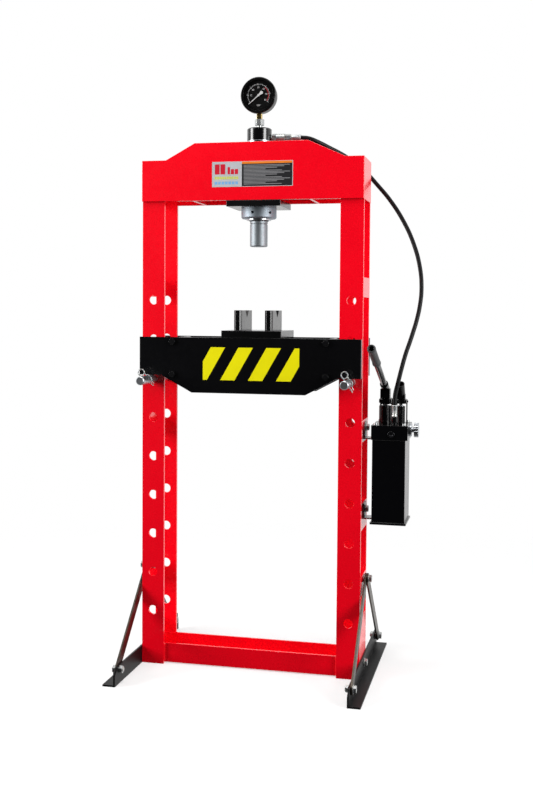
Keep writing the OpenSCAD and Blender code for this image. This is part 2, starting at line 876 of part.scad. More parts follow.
module handle_grip() {
    color("#232323") placed() along_handle(handle_reach - grip_l) difference() {
        cylinder(h = grip_l, r = grip_r);
        translate([0, 0, -cut]) cylinder(h = grip_l + 2 * cut, r = handle_r);
    }
}

module release_valve() {
    color(bright_steel) placed() {
        bar_along_x([valve_block_right_x, 0, release_z], 6, 36);
        bar_along_x([valve_block_right_x + 6, 0, release_z], 4, 15);
    }
}

// Fluted knob on a short hub
module release_knob() {
    flutes = 16;
    rim_x = release_reach - 12;
    color(bright_steel) placed() {
        bar_along_x([valve_block_right_x + 10.3, 0, release_z],
                    rim_x - valve_block_right_x - 10.3, 12);
        translate([rim_x, 0, release_z]) rotate([0, 90, 0]) difference() {
            cylinder(h = 12, d = release_knob_d);
            for (k = [0 : flutes - 1]) rotate([0, 0, k * 360 / flutes])
                translate([release_knob_d / 2 + 1, 0, -cut]) cylinder(h = 14, d = 4.4);
        }
    }
}

module filler_plug() {
    head_h = 3;
    front_y = -valve_block_d / 2;
    color("#3d4043") placed() difference() {
        bar_along_y([filler_x, front_y - head_h, filler_z], head_h, 18);
        bar_along_y([filler_x, front_y - head_h - cut, filler_z], 2 + cut, hex_d(8), 6);
    }
}

// Angle brackets between the right-hand upright's tie plates and the reservoir
module pump_brackets() {
    y = bracket_w / 2;
    color(bright_steel) placed() for (bracket = [upper_bracket, lower_bracket]) difference() {
        union() {
            block([half_w, -y, bracket[0]], [half_w + bracket_t, y, bracket[0] + bracket[2]]);
            block([half_w, -y, bracket[0]], [tank_left_x, y, bracket[0] + bracket_t]);
        }
        bar_along_x([half_w - cut, 0, bracket[1]], bracket_t + 2 * cut, bracket_bolt_d + 1);
    }
}

module bracket_bolts() {
    nut_h = 8;
    washer_t = 2;
    inner_x = half_w - bar_t;
    outer_x = half_w + bracket_t;
    color(plain_steel) placed() for (bracket = [upper_bracket, lower_bracket]) {
        z = bracket[1];
        bar_along_x([inner_x - nut_h, 0, z], nut_h, hex_d(16), 6);
        bar_along_x([inner_x - nut_h, 0, z], outer_x + washer_t - inner_x + nut_h,
                    bracket_bolt_d);
        bar_along_x([outer_x, 0, z], washer_t, 22);
        bar_along_x([outer_x + washer_t, 0, z], 6.5, hex_d(16), 6);
    }
}

// ---- Bed ----

module bed_outline() {
    low_z = bed_top_z - bed_mid_h;
    difference() {
        polygon([[-half_w, bed_top_z], [-half_w, bed_end_z], [-bed_slope_x, bed_end_z],
                 [-bed_flat_half, low_z], [bed_flat_half, low_z], [bed_slope_x, bed_end_z],
                 [half_w, bed_end_z], [half_w, bed_top_z]]);
        for (x = [-bed_bolt_x, bed_bolt_x], z = bed_bolt_zs)
            translate([x, z]) circle(d = frame_bolt_d);
    }
}

module bed_front_plate() {
    color(black_paint) placed() sheet_xz(-bed_face_y, bed_plate_t) bed_outline();
}

module bed_rear_plate() {
    color(black_paint) placed() sheet_xz(bed_inner_y, bed_plate_t) bed_outline();
}

module bed_tie_bolts() {
    head_h = 6.5;
    nut_h = 10;
    color(black_paint) placed() for (x = [-bed_bolt_x, bed_bolt_x], z = bed_bolt_zs) {
        bar_along_y([x, -bed_face_y - head_h, z], head_h, hex_d(16), 6);
        bar_along_y([x, -bed_face_y, z], 2 * bed_face_y, frame_bolt_d);
        bar_along_y([x, bed_face_y, z], nut_h, hex_d(18), 6);
    }
}

// Tubes round the tie bolts that hold the two plates apart
module bed_spacers() {
    color(plain_steel) placed() for (x = [-bed_bolt_x, bed_bolt_x], z = bed_bolt_zs)
        difference() {
            bar_along_y([x, -bed_inner_y, z], 2 * bed_inner_y, 22);
            bar_along_y([x, -bed_inner_y - cut, z], 2 * bed_inner_y + 2 * cut, frame_bolt_d);
        }
}

// Four leaning stripes, cut off by the edges of a rectangular field
module hazard_stripes() {
    low = stripe_field[0];
    high = stripe_field[1];
    color("#ffe600") placed() sheet_xz(-bed_face_y - decal_t, decal_t) intersection() {
        translate(low) square(high - low);
        for (k = [0 : 3]) {
            x = stripe_first_x + k * stripe_pitch;
            polygon([[x, high[1]], [x + stripe_w, high[1]],
                     [x + stripe_w - stripe_lean, low[1]], [x - stripe_lean, low[1]]]);
        }
    }
}

// Pin through the front and rear bars, chamfered, with a cross hole for its clip
module bed_pin(side, clip_lean) {
    chamfer = 2;
    l = bed_pin_rear_y - bed_pin_front_y;
    translate([side * bar_x, 0, bed_pin_z]) difference() {
        translate([0, bed_pin_front_y, 0]) rotate([-90, 0, 0]) {
            cylinder(h = chamfer, d1 = bed_pin_d - 2 * chamfer, d2 = bed_pin_d);
            translate([0, 0, chamfer]) cylinder(h = l - 2 * chamfer, d = bed_pin_d);
            translate([0, 0, l - chamfer])
                cylinder(h = chamfer, d1 = bed_pin_d, d2 = bed_pin_d - 2 * chamfer);
        }
        rotate([0, -clip_lean, 0])
            bar_along_z([0, clip_y, -bed_pin_d], 2 * bed_pin_d, clip_wire_d + 0.3);
    }
}

module left_bed_pin() {
    color(bright_steel) placed() bed_pin(-1, clip_leans[0]);
}

module right_bed_pin() {
    color(bright_steel) placed() bed_pin(1, clip_leans[1]);
}

// Wire clip like a letter R: a leg through the pin, an eye above it and a bow round it
module pin_clip(side, lean) {
    bow_r = bed_pin_d / 2 + clip_wire_d / 2 + 1;
    bow_end = 60;
    translate([side * bar_x, clip_y, bed_pin_z]) rotate([0, -lean, 0]) {
        bar_along_z([0, 0, -clip_leg], clip_leg + clip_eye_z, clip_wire_d, 24);
        translate([clip_eye_r - 1, 0, clip_eye_z]) rotate([90, 0, 0])
            rotate_extrude($fn = 48) translate([clip_eye_r, 0]) circle(d = clip_wire_d, $fn = 24);
        rotate([90, 0, 0]) rotate([0, 0, -bow_end])
            rotate_extrude(angle = 2 * bow_end - 4, $fn = 96)
                translate([bow_r, 0]) circle(d = clip_wire_d, $fn = 24);
        translate([bow_r * cos(bow_end), 0, -bow_r * sin(bow_end)]) rotate([0, 194, 0])
            cylinder(h = clip_leg / 2, d = clip_wire_d, $fn = 24);
    }
}

module left_pin_clip() {
    color(bright_steel) placed() pin_clip(-1, clip_leans[0]);
}

module right_pin_clip() {
    color(bright_steel) placed() pin_clip(1, clip_leans[1]);
}

// ---- Press blocks ----

module press_slab() {
    color("#202224") placed()
        block([ram_x - slab_w / 2, -slab_w / 2, slab_z],
              [ram_x + slab_w / 2, slab_w / 2, slab_z + slab_t]);
}

// A rectangle from its half width and half length, with its four corners cut off
module chamfered(x, y, c) {
    polygon([[c - x, -y], [x - c, -y], [x, c - y], [x, y - c],
             [x - c, y], [c - x, y], [-x, y - c], [-x, c - y]]);
}

// A block with a V across its top edge, its inner face at half the gap
module v_block(side) {
    low_x = ram_x + (side > 0 ? block_gap / 2 : -block_gap / 2 - block_t);
    top_z = block_z + block_h;
    color("#1b1c1e") placed() difference() {
        translate([low_x + block_t / 2, 0, block_z]) linear_extrude(height = block_h)
            chamfered(block_t / 2, block_l / 2, block_chamfer);
        translate([low_x - cut, 0, top_z]) rotate([90, 0, 90])
            linear_extrude(height = block_t + 2 * cut)
                polygon([[-vee_w / 2 - vee_w / vee_h, 2], [0, -vee_h],
                         [vee_w / 2 + vee_w / vee_h, 2]]);
    }
}

module left_v_block() {
    v_block(-1);
}

module right_v_block() {
    v_block(1);
}

left_front_upright();
left_rear_upright();
right_front_upright();
right_rear_upright();
tie_plates();
crosshead_front_plate();
crosshead_rear_plate();
crosshead_cross_plates();
base_channel();
left_foot();
right_foot();
foot_braces();
foot_bolts();
ram_mount_plate();
ram_barrel();
ram_head();
ram_ring_nut();
ram_gland();
return_spring();
label_plate();
gauge_adaptor();
gauge_stem();
gauge_case();
gauge_bezel();
gauge_dial();
gauge_lens();
gauge_needle();
hose_coupler();
crimp_sleeves();
hydraulic_hose();
pump_hose_fitting();
pump_reservoir();
pump_valve_block();
pump_barrels();
fulcrum_posts();
release_valve();
release_knob();
filler_plug();
pump_brackets();
bracket_bolts();
ram_rod();
ram_piston();
bed_front_plate();
bed_rear_plate();
bed_tie_bolts();
bed_spacers();
hazard_stripes();
left_bed_pin();
right_bed_pin();
left_pin_clip();
right_pin_clip();
press_slab();
left_v_block();
right_v_block();
pump_lever();
handle_tube();
handle_grip();
main_plunger();
second_lever();
small_plunger();
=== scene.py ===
"""Finishes a hydraulic workshop press: paint, metal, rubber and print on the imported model,
with the small pieces that the plain solids leave out, on a pale studio floor."""

from math import cos, pi, radians, sin, tau

import bmesh
import bpy
from mathutils import Matrix, Vector


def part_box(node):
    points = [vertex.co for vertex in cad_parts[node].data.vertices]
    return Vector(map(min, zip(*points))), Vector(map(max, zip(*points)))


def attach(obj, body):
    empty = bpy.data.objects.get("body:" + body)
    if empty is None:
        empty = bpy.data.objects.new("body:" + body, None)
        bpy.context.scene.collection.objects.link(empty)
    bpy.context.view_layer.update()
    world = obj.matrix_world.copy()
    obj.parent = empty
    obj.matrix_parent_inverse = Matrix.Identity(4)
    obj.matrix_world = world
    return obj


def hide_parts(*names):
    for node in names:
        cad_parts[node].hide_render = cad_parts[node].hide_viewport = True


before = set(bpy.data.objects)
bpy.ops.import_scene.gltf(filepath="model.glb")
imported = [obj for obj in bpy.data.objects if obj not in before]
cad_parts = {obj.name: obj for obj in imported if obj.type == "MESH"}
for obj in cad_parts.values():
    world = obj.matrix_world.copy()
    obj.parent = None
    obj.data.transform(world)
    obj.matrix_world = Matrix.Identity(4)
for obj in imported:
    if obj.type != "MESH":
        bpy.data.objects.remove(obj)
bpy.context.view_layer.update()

bl_info = {
    "name": "Workshop Press Finish",
    "version": (1, 0, 0),
    "blender": (4, 5, 0),
    "location": "View3D > Sidebar > Press",
    "description": "Paint, metal, rubber and small fittings for a hydraulic workshop press",
    "category": "Add Mesh",
}

MM = 0.001
FRONT = Vector((0, -1, 0))
UP = Vector((0, 0, 1))

# The hose's own route from the coupler to the pump, in metres from the frame's middle.
HOSE_ROUTE = [
    (0.128, 0, 1.510), (0.150, 0.002, 1.5075), (0.175, 0.014, 1.498), (0.205, 0.040, 1.484),
    (0.230, 0.062, 1.472), (0.252, 0.082, 1.459), (0.278, 0.094, 1.440), (0.303, 0.100, 1.417),
    (0.332, 0.100, 1.385), (0.369, 0.096, 1.341), (0.409, 0.086, 1.280),
    (0.4405, 0.070, 1.214), (0.4605, 0.050, 1.147), (0.467, 0.034, 1.090),
    (0.465, 0.018, 1.044), (0.4575, 0.004, 1.000), (0.450, -0.008, 0.970),
    (0.4415, -0.018, 0.940), (0.432, -0.028, 0.909), (0.421, -0.038, 0.864),
    (0.412, -0.043, 0.824), (0.4065, -0.044, 0.800), (0.405, -0.044, 0.784),
    (0.405, -0.044, 0.768),
]


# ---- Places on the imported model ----

def middle_of_frame():
    """The point on the floor halfway between the four uprights."""
    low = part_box("left_front_upright")[0]
    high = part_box("right_rear_upright")[1]
    return Vector(((low.x + high.x) / 2, (low.y + high.y) / 2, 0))


def centre(node):
    """The middle of a node's box."""
    low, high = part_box(node)
    return (low + high) / 2


MIDDLE = middle_of_frame()


# ---- Shader maths and finishes ----

class Level:
    """A number that varies over a surface. Arithmetic on it adds Math nodes."""

    def __init__(self, finish, socket):
        self.finish = finish
        self.socket = socket

    def math(self, operation, first, second):
        made = self.finish.node("ShaderNodeMath", {"operation": operation}, {0: first, 1: second})
        return Level(self.finish, made.outputs[0])

    def __add__(self, other):
        return self.math("ADD", self, other)

    def __radd__(self, other):
        return self.math("ADD", other, self)

    def __sub__(self, other):
        return self.math("SUBTRACT", self, other)

    def __rsub__(self, other):
        return self.math("SUBTRACT", other, self)

    def __mul__(self, other):
        return self.math("MULTIPLY", self, other)

    def __rmul__(self, other):
        return self.math("MULTIPLY", other, self)

    def between(self, low, high):
        """0 up to low, 1 from high, and a smooth rise in between."""
        made = self.finish.node(
            "ShaderNodeMapRange", {"interpolation_type": "SMOOTHSTEP"},
            {"Value": self, "From Min": low, "From Max": high})
        return Level(self.finish, made.outputs["Result"])


class Finish:
    """One material, built on its Principled shader in the model's own coordinates."""

    def __init__(self, name):
        self.material = bpy.data.materials.new(name)
        self.material.use_nodes = True
        self.tree = self.material.node_tree
        self.shader = self.tree.nodes["Principled BSDF"]
        self.place = self.node("ShaderNodeTexCoord").outputs["Object"]

    def fill(self, node, inputs):
        """Sets a node's sockets to values, or links them."""
        for name, value in inputs.items():
            value = value.socket if isinstance(value, Level) else value
            if isinstance(value, bpy.types.NodeSocket):
                self.tree.links.new(value, node.inputs[name])
            else:
                node.inputs[name].default_value = value

    def node(self, kind, settings=None, inputs=None):
        """Adds a node: its settings first, then the values or links of its sockets."""
        made = self.tree.nodes.new(kind)
        for name, value in (settings or {}).items():
            setattr(made, name, value)
        self.fill(made, inputs or {})
        return made

    def shade(self, **inputs):
        """Sets sockets of the Principled shader, such as Base_Color or Roughness."""
        self.fill(self.shader, {name.replace("_", " "): v for name, v in inputs.items()})

    def noise(self, scale, detail=3.0, stretch=(1, 1, 1)):
        """Noise with so many features per metre, drawn out along the axes with a low stretch."""
        place = self.node("ShaderNodeVectorMath", {"operation": "MULTIPLY"},
                          {0: self.place, 1: stretch}).outputs[0]
        made = self.node("ShaderNodeTexNoise", None,
                         {"Vector": place, "Scale": scale, "Detail": detail})
        return Level(self, made.outputs["Fac"])

    def cells(self, scale):
        """Distance to the nearest of scattered points, for a pebbled or spangled surface."""
        made = self.node("ShaderNodeTexVoronoi", None, {"Vector": self.place, "Scale": scale})
        return Level(self, made.outputs["Distance"])

    def edges(self, width):
        """1 along outer and inner edges, and 0 on open faces."""
        rounded = self.node("ShaderNodeBevel", {"samples": 4}, {"Radius": width}).outputs[0]
        flat = self.node("ShaderNodeNewGeometry").outputs["Normal"]
        dot = self.node("ShaderNodeVectorMath", {"operation": "DOT_PRODUCT"},
                        {0: rounded, 1: flat}).outputs["Value"]
        return (1 - Level(self, dot)).between(0.05, 0.35)

    def mix(self, mask, first, second):
        """The first colour where the mask is 0, and the second where it is 1."""
        made = self.node("ShaderNodeMix", {"data_type": "RGBA"}, {0: mask, 6: first, 7: second})
        return made.outputs[2]

    def relief(self, height, depth):
        """Bumps of that depth in metres, from a height between 0 and 1."""
        bump = self.node("ShaderNodeBump", None,
                         {"Height": height, "Distance": depth, "Strength": 1.0})
        self.shade(Normal=bump.outputs[0])


def tint(colour, factor=1.0):
    """A colour as four numbers, made lighter or darker."""
    return tuple(min(channel * factor, 1.0) for channel in colour) + (1.0,)


def enamel(name, colour, roughness=0.24, coat=0.5, worn=(0.30, 0.29, 0.28), wear=0.0,
           shine=0.5):
    """Sprayed gloss paint: slight orange peel, uneven gloss, and a lighter colour along the edges
    that is partly thin paint and partly painted highlight.
    """
    finish = Finish(name)
    drift = finish.noise(5, 3)
    grain = finish.noise(60, 4)
    peel = finish.noise(420, 2)
    edge = finish.edges(1.6 * MM)
    tone = finish.mix(drift.between(0.3, 0.7), tint(colour, 0.95), tint(colour, 1.03))
    # Lighter colour along the edges: partly thin paint, partly painted highlight.
    thin = finish.mix(edge * 0.25, tone, tint([min(c * 1.25 + 0.02, 1) for c in colour]))
    chips = edge * grain.between(0.56, 0.64) * wear
    finish.shade(
        Base_Color=finish.mix(chips, thin, tint(worn)),
        Roughness=roughness - 0.05 + grain * 0.1 + drift * 0.06 + chips * 0.2,
        Coat_Weight=coat, Coat_Roughness=0.06, Specular_IOR_Level=shine)
    finish.relief(peel + grain * 0.6, 0.012 * MM)
    return finish.material


def steel(name, colour, roughness=0.28, marks=(40, 40, 2200), stain=0.12):
    """Machined steel: fine tool marks across the short direction, faint staining, and a painted
    highlight along the edges.
    """
    finish = Finish(name)
    cut = finish.noise(1, 5, marks)
    cloud = finish.noise(28, 4)
    edge = finish.edges(0.8 * MM)
    base = finish.mix(cloud.between(0.35, 0.7) * stain, tint(colour), tint(colour, 0.45))
    # A lighter colour along the edges: painted highlight.
    finish.shade(
        Base_Color=finish.mix(edge * 0.5, base, tint(colour, 1.3)),
        Metallic=1.0,
        Roughness=roughness - 0.06 + cut * 0.12 + cloud * 0.1)
    finish.relief(cut + cloud * 0.3, 0.012 * MM)
    return finish.material


def zinc(name, colour):
    """Bright zinc plating: faint crystals, a little blue and yellow, and a painted highlight along
    the edges and inner corners.
    """
    finish = Finish(name)
    crystal = finish.cells(700)
    cloud = finish.noise(90, 3)
    base = finish.mix(cloud.between(0.3, 0.7), tint(colour, 0.85),
                      tint((colour[0] * 1.04, colour[1] * 1.02, colour[2] * 0.92)))
    # A lighter colour along edges and inner corners: painted highlight.
    finish.shade(
        Base_Color=finish.mix(finish.edges(0.7 * MM) * 0.4, base, tint(colour, 1.25)),
        Metallic=1.0, Roughness=0.24 + crystal * 0.25 + cloud * 0.12)
    finish.relief(crystal * 0.5 + cloud, 0.02 * MM)
    return finish.material


def black_oxide(name, colour):
    """Blackened tool steel: blotchy, half matt, and bare along the edges."""
    finish = Finish(name)
    cloud = finish.noise(34, 5)
    ground = finish.noise(1, 4, (1600, 60, 60))
    bare = finish.edges(1.2 * MM) * (0.3 + cloud * 0.5)
    base = finish.mix(cloud.between(0.35, 0.7), tint(colour, 0.8), tint(colour, 1.3))
    finish.shade(
        Base_Color=finish.mix(bare, base, (0.26, 0.26, 0.27, 1)),
        Metallic=bare * 0.8, Roughness=0.14 + cloud * 0.1 + ground * 0.06,
        Coat_Weight=0.1, Coat_Roughness=0.1)
    finish.relief(ground + cloud * 0.5, 0.02 * MM)
    return finish.material


def rubber(name, colour, roughness=0.5, pebble=1100, depth=0.08, shine=0.5):
    """Moulded rubber with a fine cloth-like skin and dusty patches."""
    finish = Finish(name)
    skin = finish.cells(pebble)
    dust = finish.noise(40, 4)
    finish.shade(
        Base_Color=finish.mix(dust.between(0.45, 0.8) * 0.5, tint(colour), tint(colour, 2.1)),
        Roughness=roughness - 0.08 + dust * 0.2 + skin * 0.1, Specular_IOR_Level=shine)
    finish.relief(skin, depth * MM)
    return finish.material


def film(name, colour, roughness=0.32, tone=0.08):
    """Printed vinyl film: even colour with faint cloudiness and a soft shine."""
    finish = Finish(name)
    cloud = finish.noise(30, 3)
    ripple = finish.noise(160, 2)
    finish.shade(
        Base_Color=finish.mix(cloud.between(0.3, 0.7), tint(colour, 1 - tone), tint(colour)),
        Roughness=roughness + ripple * 0.08, Coat_Weight=0.3, Coat_Roughness=0.12)
    finish.relief(ripple, 0.02 * MM)
    return finish.material


def clear_lens(name):
    """Clear window: thin, slightly wavy and faintly scuffed."""
    finish = Finish(name)
    scuff = finish.noise(300, 4)
    finish.shade(Base_Color=(0, 0, 0, 1), Roughness=0.03 + scuff * 0.06, Alpha=0.1)
    finish.relief(finish.noise(30, 2), 0.01 * MM)
    return finish.material


# ---- Mesh helpers ----

def aim(origin, direction):
    """A place at origin whose own Z runs along direction."""
    turn = Vector(direction).to_track_quat("Z", "Y").to_matrix().to_4x4()
    return Matrix.Translation(Vector(origin)) @ turn


def ring(place, radius, height, sides):
    """Points round a place's Z axis. The radius is a number or a function of the angle."""
    points = []
    for k in range(sides):
        angle = k * tau / sides
        r = radius(angle) if callable(radius) else radius
        points.append(place @ Vector((r * cos(angle), r * sin(angle), height)))
    return points


def skin(bm, rings, capped=True, joined=False):
    """Faces between rings of points, with caps, or joined last to first as a hollow ring."""
    loops = [[bm.verts.new(point) for point in points] for points in rings]
    pairs = list(zip(loops, loops[1:]))
    if joined:
        pairs.append((loops[-1], loops[0]))
    for a, b in pairs:
        for k in range(len(a)):
            nxt = (k + 1) % len(a)
            bm.faces.new((a[k], a[nxt], b[nxt], b[k]))
    if capped and not joined:
        bm.faces.new(loops[0][::-1])
        bm.faces.new(loops[-1])


def lathe(bm, place, outline, sides=48, joined=False):
    """A turned piece from its outline of radius and height."""
    skin(bm, [ring(place, r, h, sides) for r, h in outline], joined=joined)


def slab(bm, low, high):
    """A box from its lowest to its highest corner."""
    low, high = Vector(low), Vector(high)
    size = Matrix.Diagonal((*(high - low), 1))
    bmesh.ops.create_cube(bm, size=1, matrix=Matrix.Translation((low + high) / 2) @ size)


def bead(bm, start, end, radius):
    """A weld bead: a rippled, slightly uneven rope of metal with drawn-in ends."""
    start, end = Vector(start), Vector(end)
    length = (end - start).length
    steps = max(6, round(length / (1.4 * MM)))
    place = aim(start, end - start)
    rings = []
    for k in range(steps + 1):
        share = k / steps
        taper = min(1.0, 0.45 + 5 * share, 0.45 + 5 * (1 - share))
        ripple = 1 + 0.09 * sin(k * 1.9) + 0.05 * sin(k * 0.37 + start.z * 90)
        rings.append(ring(place, radius * taper * ripple, length * share, 8))
    skin(bm, rings)


def socket_screw(bm, origin, direction, head_r, head_h):
    """A cap screw's head with a six-sided recess."""
    place = aim(origin, direction)
    lathe(bm, place, [(head_r * 0.94, 0), (head_r, head_h * 0.08), (head_r, head_h * 0.86),
                      (head_r * 0.9, head_h), (head_r * 0.52, head_h)], sides=24)
    recess = [ring(place, head_r * 0.5, height, 6) for height in (head_h * 1.002, head_h * 0.45)]
    skin(bm, recess)


def piece(name, bm, finish, body, smooth=True, edge=0.0):
    """Makes an object from the mesh, finished, named and riding on its body."""
    bmesh.ops.recalc_face_normals(bm, faces=bm.faces)
    mesh = bpy.data.meshes.new(name)
    bm.to_mesh(mesh)
    bm.free()
    mesh.materials.append(finish)
    mesh.shade_smooth() if smooth else mesh.shade_flat()
    made = bpy.data.objects.new(name, mesh)
    bpy.context.scene.collection.objects.link(made)
    if edge:
        round_edges(made, edge)
    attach(made, body)
    return made


def round_edges(thing, width, segments=2):
    """Small rounded edges that catch the light, with flat faces kept flat."""
    thing.data.shade_smooth()
    weld = thing.modifiers.new("weld", "WELD")
    weld.merge_threshold = 0.00001
    flatten = thing.modifiers.new("flatten", "DECIMATE")
    flatten.decimate_type = "DISSOLVE"
    flatten.angle_limit = radians(0.5)
    bevel = thing.modifiers.new("edges", "BEVEL")
    bevel.width = width
    bevel.segments = segments
    bevel.limit_method = "ANGLE"
    bevel.angle_limit = radians(32)
    normals = thing.modifiers.new("normals", "WEIGHTED_NORMAL")
    normals.weight = 100


def dress(nodes, finish, edge=0.0):
    """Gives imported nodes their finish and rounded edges. Their meshes stay as they are."""
    for name in nodes:
        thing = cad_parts[name]
        thing.data.materials.clear()
        thing.data.materials.append(finish)
        if edge:
            round_edges(thing, edge)


def wire(name, points, diameter, finish, body, closed=False):
    """A smooth wire or hose along points."""
    curve = bpy.data.curves.new(name, "CURVE")
    curve.dimensions = "3D"
    curve.bevel_depth = diameter / 2
    curve.bevel_resolution = 5
    curve.resolution_u = 10
    curve.use_fill_caps = True
    curve.materials.append(finish)
    spline = curve.splines.new("BEZIER")
    spline.bezier_points.add(len(points) - 1)
    for target, point in zip(spline.bezier_points, points):
        target.co = point
        target.handle_left_type = target.handle_right_type = "AUTO"
    spline.use_cyclic_u = closed
    made = bpy.data.objects.new(name, curve)
    bpy.context.scene.collection.objects.link(made)
    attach(made, body)
    return made


# ---- Settings ----

class PressStageSettings(bpy.types.PropertyGroup):
    camera_offset: bpy.props.FloatVectorProperty(
        name="Camera place", description="Camera's place from the frame's middle",
        default=(0.7335, -3.0152, 1.026), subtype="TRANSLATION", unit="LENGTH")
    camera_turn: bpy.props.FloatProperty(
        name="Camera turn", description="How far the camera looks to the left",
        default=radians(13.08), subtype="ANGLE")
    camera_dip: bpy.props.FloatProperty(
        name="Camera dip", description="How far the camera looks down",
        default=radians(2.71), subtype="ANGLE")
    camera_roll: bpy.props.FloatProperty(
        name="Camera roll", description="Turn of the camera about its own line of sight",
        default=radians(0.40), subtype="ANGLE")
    lens: bpy.props.FloatProperty(
        name="Lens", description="Focal length on a 36 mm sensor, in millimetres",
        default=48.84)
    shift_y: bpy.props.FloatProperty(
        name="Shift", description="Upright shift of the camera, as a share of the view",
        default=-0.0484)
    back_light: bpy.props.FloatProperty(
        name="Backdrop light", description="Strength of the light from behind the press",
        default=1.0, min=0)
    front_light: bpy.props.FloatProperty(
        name="Room light", description="Strength of the light from the room in front",
        default=0.02, min=0)
    floor_colour: bpy.props.FloatVectorProperty(
        name="Floor", description="Colour of the studio floor",
        default=(0.92, 0.92, 0.92), subtype="COLOR", min=0, max=1)


class PressPaintSettings(bpy.types.PropertyGroup):
    frame_red: bpy.props.FloatVectorProperty(
        name="Frame", description="Gloss paint of the frame",
        default=(0.93, 0.0, 0.010), subtype="COLOR", min=0, max=1)
    bed_black: bpy.props.FloatVectorProperty(
        name="Bed", description="Paint of the bed and the mounting plate",
        default=(0.0025, 0.0025, 0.003), subtype="COLOR", min=0, max=1)
    pump_black: bpy.props.FloatVectorProperty(
        name="Pump", description="Paint of the pump and its tank",
        default=(0.0015, 0.0015, 0.002), subtype="COLOR", min=0, max=1)
    brace_grey: bpy.props.FloatVectorProperty(
        name="Braces", description="Bare oiled steel of the braces",
        default=(0.085, 0.072, 0.058), subtype="COLOR", min=0, max=1)
    bright_metal: bpy.props.FloatVectorProperty(
        name="Bright metal", description="Turned and plated steel",
        default=(0.50, 0.52, 0.545), subtype="COLOR", min=0, max=1)
    brass: bpy.props.FloatVectorProperty(
        name="Brass", description="Stem of the gauge",
        default=(0.62, 0.44, 0.13), subtype="COLOR", min=0, max=1)
    stripe_yellow: bpy.props.FloatVectorProperty(
        name="Stripes", description="Film of the stripes on the bed",
        default=(0.92, 0.84, 0.0), subtype="COLOR", min=0, max=1)


class PressDetailSettings(bpy.types.PropertyGroup):
    plate_edge: bpy.props.FloatProperty(
        name="Plate edges", description="Rounding of the frame's plates",
        default=0.0012, unit="LENGTH", min=0)
    part_edge: bpy.props.FloatProperty(
        name="Part edges", description="Rounding of the small parts",
        default=0.0006, unit="LENGTH", min=0)
    weld_radius: bpy.props.FloatProperty(
        name="Weld beads", description="Radius of the weld beads",
        default=0.0028, unit="LENGTH", min=0.001)
    hose_length: bpy.props.FloatProperty(
        name="Hose length", description="Length of the hydraulic hose between its sleeves",
        default=0.955, unit="LENGTH")
    hose_diameter: bpy.props.FloatProperty(
        name="Hose diameter", description="Outside diameter of the hydraulic hose",
        default=0.012, unit="LENGTH")
    crimp_flats: bpy.props.IntProperty(
        name="Crimp flats", description="Flats pressed into each hose sleeve", default=8, min=4)
    clip_wire: bpy.props.FloatProperty(
        name="Clip wire", description="Diameter of the pin clips' wire",
        default=0.003, unit="LENGTH")
    left_clip_lean: bpy.props.FloatProperty(
        name="Left clip lean", description="Lean of the left pin's clip to the left",
        default=radians(55), subtype="ANGLE")
    right_clip_lean: bpy.props.FloatProperty(
        name="Right clip lean", description="Lean of the right pin's clip to the left",
        default=radians(35), subtype="ANGLE")
    scale_zero: bpy.props.FloatProperty(
        name="Scale zero",
        description="Direction of the gauge's zero, anticlockwise from the right",
        default=radians(220), subtype="ANGLE")
    scale_sweep: bpy.props.FloatProperty(
        name="Scale sweep", description="Angle from the gauge's zero to its full scale",
        default=radians(254), subtype="ANGLE")
    scale_steps: bpy.props.IntProperty(
        name="Scale steps", description="Numbered steps on the gauge", default=6, min=2)
    scale_unit: bpy.props.IntProperty(
        name="Scale unit", description="Value of one numbered step", default=10, min=1)
    handle_slope: bpy.props.FloatProperty(
        name="Handle slope", description="Upward slope of the pump handle at rest",
        default=radians(21.3), subtype="ANGLE")


# ---- Operators ----

